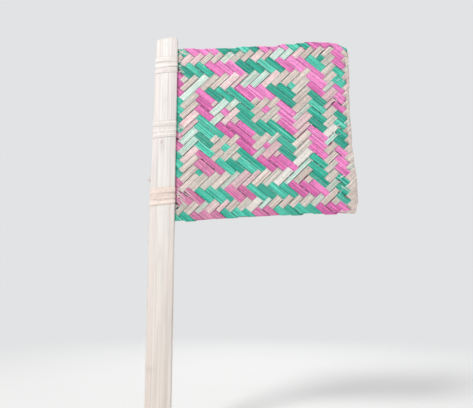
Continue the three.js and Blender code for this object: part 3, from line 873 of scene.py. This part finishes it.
def handle_material(name, colours):
    """Whittled bamboo: a pale waxy skin, duller cut bevels, fine long fibres and hand-worn colour."""
    material, tree = new_material(name)
    grain = add_node(tree, "Attribute", attribute_name="grain")["Vector"]
    wear = add_node(tree, "Attribute", attribute_name="wear")["Vector"]
    wear = add_node(tree, "SeparateXYZ", {0: wear})
    height = add_node(tree, "SeparateXYZ", {0: grain})["Y"]

    # Noise drawn out along the handle: width and length of its marks in millimetres, and their detail.
    # Fibre bundles about two millimetres apart, finer lines between them, and long soft patches
    layers = []
    for across, along, detail in ((1.3, 140, 2), (0.5, 90, 1), (5, 60, 2)):
        scaled = add_node(
            tree, "VectorMath", {0: grain, 1: (1 / across, 1 / along, 1 / across)}, operation="MULTIPLY"
        )[0]
        layers.append(add_node(
            tree, "TexNoise", {"Vector": scaled, "Scale": 1.0, "Detail": detail, "Roughness": 0.6}
        )["Fac"])
    bundles, lines, patches = layers
    bundle_share = add_node(tree, "MapRange", {0: bundles, 1: 0.52, 2: 0.7, 4: 0.36})[0]
    line_share = add_node(tree, "MapRange", {0: lines, 1: 0.57, 2: 0.7, 4: 0.3})[0]
    fibre_share = add_node(tree, "Math", {0: bundle_share, 1: line_share}, operation="ADD")[0]
    # Dark lines along the bevels' edges and rounded corners, and painted shade in the slot
    line_and_slot_shade_share = add_node(tree, "MapRange", {0: wear["Y"], 4: 0.35})[0]
    marks = add_node(tree, "Math", {0: line_and_slot_shade_share, 1: fibre_share}, operation="MAXIMUM")[0]
    worn = add_node(tree, "MapRange", {0: height, 1: 270.0, 2: 60.0, 4: 0.66})[0]
    # Painted highlight: pale lines where the mark is -1
    painted_highlight_share = add_node(tree, "MapRange", {0: wear["Y"], 2: -1.0, 4: 0.6})[0]

    # Colour: skin between the cut bevels, worn darker where it is held, with pale lines that are painted
    # highlights, fibres, and marks that include painted shade in the slot
    surface = add_node(tree, "Mix", {0: wear["X"], 6: colours.cut, 7: colours.skin}, data_type="RGBA")[2]
    for share, tint in (
        (worn, colours.grip), (painted_highlight_share, colours.skin), (marks, colours.grain),
        (wear["Z"], colours.stain),
    ):
        surface = add_node(tree, "Mix", {0: share, 6: surface, 7: tint}, data_type="RGBA")[2]
    uneven = add_node(tree, "MapRange", {0: patches, 1: 0.25, 2: 0.75, 3: 0.93, 4: 1.05})[0]
    base = add_node(tree, "VectorMath", {0: surface, "Scale": uneven}, operation="SCALE")[0]
    rough = add_node(tree, "MapRange", {0: wear["X"], 3: 0.62, 4: 0.45})[0]
    bump = add_node(
        tree, "Bump", {"Height": fibre_share, "Strength": 0.4, "Distance": 0.15 * MM}, invert=True
    )[0]
    shader = add_node(
        tree, "BsdfPrincipled",
        {"Base Color": base, "Roughness": rough, "Normal": bump, "IOR": 1.5, "Specular IOR Level": 0.4},
    )
    add_node(tree, "OutputMaterial", {"Surface": shader[0]})
    return material


class FAN_OT_handle(bpy.types.Operator):
    """Whittle the split handle that holds the mat"""

    bl_idname = "fan.handle"
    bl_label = "Handle"

    def execute(self, context):
        sizes, colours = context.scene.fan_handle, context.scene.fan_colours
        part = (handle_solid(sizes), tuple(colours.skin), tuple(colours.grain))
        material = handle_material("whittled bamboo", colours)
        make_piece("split_handle_whittled", [part], material, ["split_handle"], sharp=50)
        return {"FINISHED"}


# CAD nodes of the lashings, with their tones
LASHINGS = (("lashing_top", "lashing"), ("lashing_middle", "lashing"), ("lashing_bottom", "lashing_worn"))
LASHING_TURNS = 3
LASHING_SEED = 300
PIERCE_LEVELS = (-1.9, -0.9, 0, 0.9, 1.9)  # places front to back of a turn's way through the mat
TIP_TAPER, TIP_WIDTH = 4, 0.55  # length over which an end narrows, and its share of the width at its tip
TIP_DIP, TIP_SINK = 6, 0.35  # length over which an end dips under the next turn, and how deep
TURN_LEAN = 0.1  # by which each turn leans, so that its edge lies on the next
LASHING_SECTION = (
    (-1, -0.8), (-1, 0.3), (-0.97, 0.8), (-0.91, 1), (-0.3, 1.06), (0.3, 1.06), (0.91, 1), (0.97, 0.8),
    (1, 0.3), (1, -0.8),
)


def lashing_path(sizes, handle, height):
    """Points round the handle at a height, by its front from the left: place and outward direction."""
    face = handle_face(handle, height)
    front = [Vector((x, -depth)) for x, depth, _, _ in face[1:-1]]
    back = [Vector((x, depth)) for x, depth, _, _ in reversed(face[1:-1])]
    offset = sizes.thickness / MM / 2 + 0.05
    corners = front + back
    loop = []
    for index, corner in enumerate(corners):
        before, after = corners[index - 1], corners[(index + 1) % len(corners)]
        run = (after - before).normalized()
        loop.append((corner + Vector((run.y, -run.x)) * offset, Vector((run.y, -run.x))))
    return loop, len(front)


def lashing_rings(sizes, handle, height, seed):
    """Rings of one lashing: three turns that rise to the right on the front and pass through the mat."""
    width, pinched = sizes.width / MM, sizes.pinched / MM
    pitch, thickness = sizes.pitch / MM, sizes.thickness / MM
    loop, front_count = lashing_path(sizes, handle, height)
    right = max(place.x for place, _ in loop) + 0.15
    pierce = [(Vector((right, level)), Vector((1, 0))) for level in PIERCE_LEVELS]
    turn = [(place, out, width) for place, out in loop[:front_count]]
    for place, out in pierce:
        turn.append((place, out, blend(pinched, width, smooth((abs(place.y) - 0.9) / 2.2))))
    turn += [(place, out, width) for place, out in loop[front_count:]]
    start = front_count + len(pierce) + (len(turn) - front_count - len(pierce)) // 3
    count = LASHING_TURNS * len(turn) + len(turn) // 6
    stations = (turn * (LASHING_TURNS + 2))[start:start + count]
    spots = [place for place, _, _ in stations]
    gone = [0.0]
    for before, after in zip(spots, spots[1:]):
        gone.append(gone[-1] + (after - before).length)
    once = sum((turn[index][0] - turn[index - 1][0]).length for index in range(len(turn)))
    rings = []
    for index, (place, out, wide) in enumerate(stations):
        rise = height + (gone[index] - gone[-1] / 2) / once * pitch
        tip = min(gone[index], gone[-1] - gone[index])
        wide *= blend(TIP_WIDTH, 1, smooth(tip / TIP_TAPER)) * (1 + 0.05 * wobble(gone[index], seed, 9))
        sink = TIP_SINK * (1 - smooth(tip / TIP_DIP))
        ring = []
        for side, over in LASHING_SECTION:
            spot = place + out * (over * thickness / 2 - sink - TURN_LEAN * side)
            up = rise + side * wide / 2 + 0.55 * wobble(gone[index], seed + 5, 24)
            # Painted shade along the edges of the lashing strip, in the second place
            wear = (0.0, max(0.0, (abs(side) - 0.85) / 0.15), 0.0)
            ring.append((Vector((spot.x, spot.y, up)), (side * wide / 2, gone[index], seed), wear))
        rings.append(ring)
    return rings


class FAN_OT_lashings(bpy.types.Operator):
    """Wind the three lashings that hold the mat in the handle"""

    bl_idname = "fan.lashings"
    bl_label = "Lashings"

    def execute(self, context):
        sizes, handle = context.scene.fan_lashings, context.scene.fan_handle
        colours = context.scene.fan_colours
        material = strip_material("lashing bamboo, split thin", colours, LASHING_LOOK)
        for number, (name, tone) in enumerate(LASHINGS):
            low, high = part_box(name)
            height = (low.z + high.z) / 2 / MM
            rings = lashing_rings(sizes, handle, height, LASHING_SEED + number)
            part = (loft(rings), *tones_of(colours, tone))
            make_piece(f"{name}_wound", [part], material, [name])
        return {"FINISHED"}


# Loose fibres: start x, y and z, turn up from +X in degrees, length, width, lift and curl, and tone
LOOSE_FIBRES = (
    (181, -0.56, 355.5, 200, 4.5, 1.1, 1.2, 0.8, "white"),
    (184, -0.56, 353, 70, 5, 0.9, 0.8, -1.2, "straw"),
    (178.5, -0.56, 337, 165, 8, 1.2, 0.9, 1.4, "blush"),
    (172, -0.56, 331.5, 20, 7, 1.0, 1.3, -0.56, "white"),
    (181, -0.56, 333, 215, 9, 1.0, 1.0, 1.2, "pink_light"),
    (185, -0.56, 330.5, 150, 6, 0.8, 1.4, 1.0, "blush"),
    (168, -0.56, 316, 42, 9, 0.8, 0.7, 0.5, "straw"),
    (171.5, -0.56, 317.5, 42, 8, 0.7, 0.7, -0.5, "white"),
    (177, -0.56, 305.5, 20, 5, 1.3, 1.5, 1.2, "white"),
    (175, -0.56, 300, 200, 5.5, 1.1, 1.2, -1.0, "straw"),
    (176, -0.56, 297.5, 340, 5, 0.9, 1.0, 0.8, "blush"),
    (173, -0.56, 286, 318, 13, 0.7, 0.7, 0.6, "straw"),
    (178, -0.56, 251.5, 20, 5, 2.0, 1.6, 0.9, "white"),
    (179, -0.56, 243, 325, 12, 1.2, 1.2, -0.56, "white"),
    (177, -0.56, 235, 50, 7, 0.9, 0.8, 0.8, "mint"), (183, -0.56, 225, 320, 8, 1.3, 1.0, 1.0, "straw"),
    (16, -0.6, 241, 330, 9, 0.8, 0.9, 0.8, "white"), (15.5, -0.6, 236, 318, 8, 0.7, 1.2, -0.6, "straw"),
    (21, -0.56, 240.5, 322, 9, 0.9, 0.8, 0.7, "straw"), (14.5, -0.6, 231, 20, 6, 0.7, 1.0, 0.8, "blush"),
    (14.5, -0.6, 304, 330, 6, 0.8, 1.2, 0.6, "straw"), (15, -0.6, 298, 305, 6, 0.7, 0.9, -0.6, "white"),
    (14.5, -0.6, 371, 350, 5, 0.8, 1.0, 0.6, "straw"), (15, -0.6, 366, 300, 6, 0.8, 0.9, 0.6, "white"),
    (13.2, -0.58, 388.2, 326, 12, 2.4, 0.25, 0.4, "straw"),
    (13.2, -0.58, 383.4, 36, 9, 2.2, 0.25, 0.5, "straw"),
    (13.4, -0.6, 380.2, 42, 8, 1.6, 0.3, 0.4, "white"),
    (19, -0.58, 388.4, 318, 9, 1.2, 0.2, 0.4, "mint"),
    (13.4, -0.6, 374.5, 8, 3.2, 1.7, 0.6, 0.3, "white"),
    (13.4, -0.6, 370.4, 335, 3.4, 1.8, 0.7, 0.3, "white"),
    (13.4, -0.6, 364.2, 350, 3.6, 1.5, 0.6, -0.3, "straw"),
    (13.4, -0.6, 301.5, 20, 4, 1.5, 0.5, 0.4, "straw"),
    (13.4, -0.6, 296.6, 330, 4.4, 1.4, 0.6, 0.4, "white"),
    (13.4, -0.6, 234.8, 350, 4.6, 1.6, 0.7, 0.4, "white"),
    (14.2, -0.6, 240.5, 325, 12, 1.5, 0.7, 0.6, "straw"),
    (14.2, -0.6, 237.6, 318, 13, 1.4, 0.9, -0.5, "white"),
    (18, -0.6, 238.4, 322, 11, 1.4, 0.8, 0.5, "white"),
    (22.5, -0.58, 238.6, 319, 14, 1.3, 0.6, 0.4, "blush"),
    (14.2, -0.6, 233.4, 322, 11, 1.5, 0.8, 0.5, "straw"),
    (17, -0.6, 229.6, 320, 9, 1.3, 0.9, -0.4, "white"),
    (14.2, -0.6, 228, 316, 7, 1.3, 0.7, 0.4, "straw"),
    (14.2, -0.6, 306.5, 322, 9, 1.3, 0.8, 0.5, "white"),
    (14.2, -0.6, 302.2, 44, 8, 1.3, 0.6, -0.4, "straw"),
    (14.2, -0.6, 294.2, 318, 7, 1.3, 0.8, 0.4, "white"),
    (14.2, -0.6, 376.4, 322, 7, 1.4, 0.7, 0.4, "white"),
    (14.2, -0.6, 368.2, 318, 8, 1.4, 0.8, -0.4, "straw"),
    (-11.2, 1.4, 244.5, 112, 9, 2.4, -0.5, 1.3, "straw"),
    (-11.2, 1.8, 243.5, 104, 8, 2.0, -0.56, -1.4, "sage"),
    (-11.2, 1.0, 246.5, 138, 5, 2.2, 0.4, 1.2, "straw"),
    (-11.2, 2.2, 246, 125, 6, 1.8, -0.6, 0.9, "straw"),
    (-11.2, 1.5, 250, 100, 4, 1.8, -0.2, 0.8, "sage"),
    (-11.2, 1.6, 217, 95, 3.5, 1.0, -0.4, 0.5, "straw"),
)

# Section of a fibre: place across it, from -1 to 1, and depth in millimetres
FIBRE_SECTION = ((-1, 0), (-0.5, -0.09), (0.5, -0.09), (1, 0), (0.5, 0.05), (-0.5, 0.05))
FIBRE_SEED = 500
FIBRE_STEPS = 10
FIBRE_HALF = 0.3  # of a fibre's stated width


def fibre_rings(start, turn, size, lift, curl, seed):
    """Rings of one thin splinter that rises and curls to its tip."""
    run = Vector((math.cos(math.radians(turn)), math.sin(math.radians(turn))))
    beside = Vector((-run.y, run.x))
    rings = []
    for step in range(FIBRE_STEPS + 1):
        share = step / FIBRE_STEPS
        spot = Vector((start[0], start[2])) + run * (size[0] * share) + beside * (curl * share * share)
        half = FIBRE_HALF * size[1] * max(0.1, (1 - share) ** 0.3 * (1 + 0.4 * wobble(share, seed, 0.15)))
        level = start[1] - lift * (0.35 + 0.65 * share) * share + mat_bow(spot)
        ring = []
        for side, over in FIBRE_SECTION:
            at = spot + beside * (side * half)
            grain = (side * half, size[0] * share, seed)
            ring.append((Vector((at.x, level + over, at.y)), grain, (0, 0, 0)))
        rings.append(ring)
    return rings


class FAN_OT_frayed_fibres(bpy.types.Operator):
    """Add the loose fibres that wear has left on the mat and at the lashings"""

    bl_idname = "fan.frayed_fibres"
    bl_label = "Frayed fibres"

    def execute(self, context):
        colours = context.scene.fan_colours
        fibres = []
        for number, (x, y, z, turn, long, wide, lift, curl, tone) in enumerate(LOOSE_FIBRES):
            rings = fibre_rings((x, y, z), turn, (long, wide), lift, curl, FIBRE_SEED + number)
            fibres.append((loft(rings), *tones_of(colours, tone)))
        material = strip_material(UNDYED_MATERIAL, colours, UNDYED_LOOK)
        make_piece("loose_fibres", fibres, material)
        return {"FINISHED"}


class FAN_OT_stage(bpy.types.Operator):
    """Set up the pale floor, the soft lights and the camera"""

    bl_idname = "fan.stage"
    bl_label = "Stage"

    def execute(self, context):
        scene = context.scene
        scene.view_settings.view_transform = "Standard"
        self.add_floor(scene)
        self.add_lights(scene)
        self.add_camera(scene)
        return {"FINISHED"}

    def add_floor(self, scene):
        corners = [Vector((x, y, 0)) for x, y in ((-8, -8), (8, -8), (8, 8), (-8, 8))]
        mesh = bpy.data.meshes.new("studio_floor")
        mesh.from_pydata(corners, [], [(0, 1, 2, 3)])
        material, tree = new_material("matt studio paper")
        # Seamless paper: matt and pale, cloudy about a hand wide, running out into the plain backdrop
        spot = add_node(tree, "TexCoord")["Object"]
        cloud = add_node(tree, "TexNoise", {"Vector": spot, "Scale": 1 / 0.1, "Detail": 2.0})[0]
        pale = add_node(tree, "MapRange", {0: cloud, 3: 0.99, 4: 1.01})[0]
        base = add_node(
            tree, "VectorMath", {0: scene.fan_colours.floor[:3], "Scale": pale}, operation="SCALE"
        )[0]
        paper = add_node(tree, "BsdfPrincipled", {"Base Color": base, "Roughness": 0.9})
        plain = add_node(tree, "Emission", {"Color": scene.fan_colours.backdrop, "Strength": 1.0})
        away = add_node(tree, "VectorMath", {0: spot}, operation="LENGTH")["Value"]
        far = add_node(tree, "MapRange", {0: away, 1: 0.35, 2: 1.1}, interpolation_type="SMOOTHSTEP")
        rays = add_node(tree, "LightPath")
        share = add_node(tree, "Math", {0: far[0], 1: rays["Is Camera Ray"]}, operation="MULTIPLY")[0]
        surface = add_node(tree, "MixShader", {0: share, 1: paper[0], 2: plain[0]})
        add_node(tree, "OutputMaterial", {"Surface": surface[0]})
        mesh.materials.append(material)
        floor = bpy.data.objects.new("studio_floor", mesh)
        scene.collection.objects.link(floor)

    def add_lights(self, scene):
        aim = Vector((0.08, 0, 0.28))
        for name, place, size, power in (
            ("key_light", (-0.75, -1.15, 1.45), 0.5, 23.5),
            ("fill_light", (1.3, -1.1, 0.5), 1.2, 3),
            ("back_light", (0.3, 1.4, 1.1), 1.2, 15),
        ):
            lamp = bpy.data.lights.new(name, "AREA")
            lamp.shape, lamp.size, lamp.energy = "DISK", size, power
            light = bpy.data.objects.new(name, lamp)
            light.location = place
            light.rotation_mode = "QUATERNION"
            light.rotation_quaternion = (aim - light.location).to_track_quat("-Z", "Y")
            scene.collection.objects.link(light)
        world = bpy.data.worlds.new("soft_studio")
        world.use_nodes = True
        tree = world.node_tree
        tree.nodes.clear()
        rays = add_node(tree, "LightPath")
        seen = add_node(
            tree, "Math", {0: rays["Is Camera Ray"], 1: rays["Is Glossy Ray"]}, operation="MAXIMUM"
        )
        strength = add_node(tree, "MapRange", {0: seen[0], 3: 0.38, 4: 1.0})[0]
        sky = add_node(tree, "Background", {"Color": scene.fan_colours.backdrop, "Strength": strength})
        add_node(tree, "OutputWorld", {"Surface": sky[0]})
        scene.world = world

    def add_camera(self, scene):
        lens = bpy.data.cameras.new("photo_camera")
        lens.sensor_width, lens.lens = 36, 39.8
        lens.clip_start, lens.clip_end = 0.01, 50
        camera = bpy.data.objects.new("photo_camera", lens)
        camera.location = (0.0739, -0.5162, 0.1430)
        camera.rotation_euler = (math.radians(99), 0, 0)
        scene.collection.objects.link(camera)
        scene.camera = camera


class FAN_PT_panel(bpy.types.Panel):
    """Sidebar panel that lists the fan's pieces and sizes"""

    bl_idname = "FAN_PT_panel"
    bl_label = "Woven fan"
    bl_space_type = "VIEW_3D"
    bl_region_type = "UI"
    bl_category = "Fan"

    def draw(self, context):
        for operator in OPERATORS:
            self.layout.operator(operator.bl_idname)
        for title, group in GROUPS.items():
            box = self.layout.box()
            for name in group.__annotations__:
                box.prop(getattr(context.scene, title), name)


GROUPS = {
    "fan_mat": FanMatSizes, "fan_handle": FanHandleSizes, "fan_lashings": FanLashingSizes,
    "fan_colours": FanColours,
}
OPERATORS = (
    FAN_OT_stage, FAN_OT_handle, FAN_OT_dyed_strips, FAN_OT_natural_strips, FAN_OT_lashings,
    FAN_OT_frayed_fibres,
)


def register():
    for item in (*GROUPS.values(), *OPERATORS, FAN_PT_panel):
        bpy.utils.register_class(item)
    for title, group in GROUPS.items():
        setattr(bpy.types.Scene, title, bpy.props.PointerProperty(type=group))


def unregister():
    for title in GROUPS:
        delattr(bpy.types.Scene, title)
    for item in reversed((*GROUPS.values(), *OPERATORS, FAN_PT_panel)):
        bpy.utils.unregister_class(item)


def main():
    register()
    for operator in OPERATORS:
        group, name = operator.bl_idname.split(".")
        getattr(getattr(bpy.ops, group), name)()


if __name__ == "__main__":
    main()
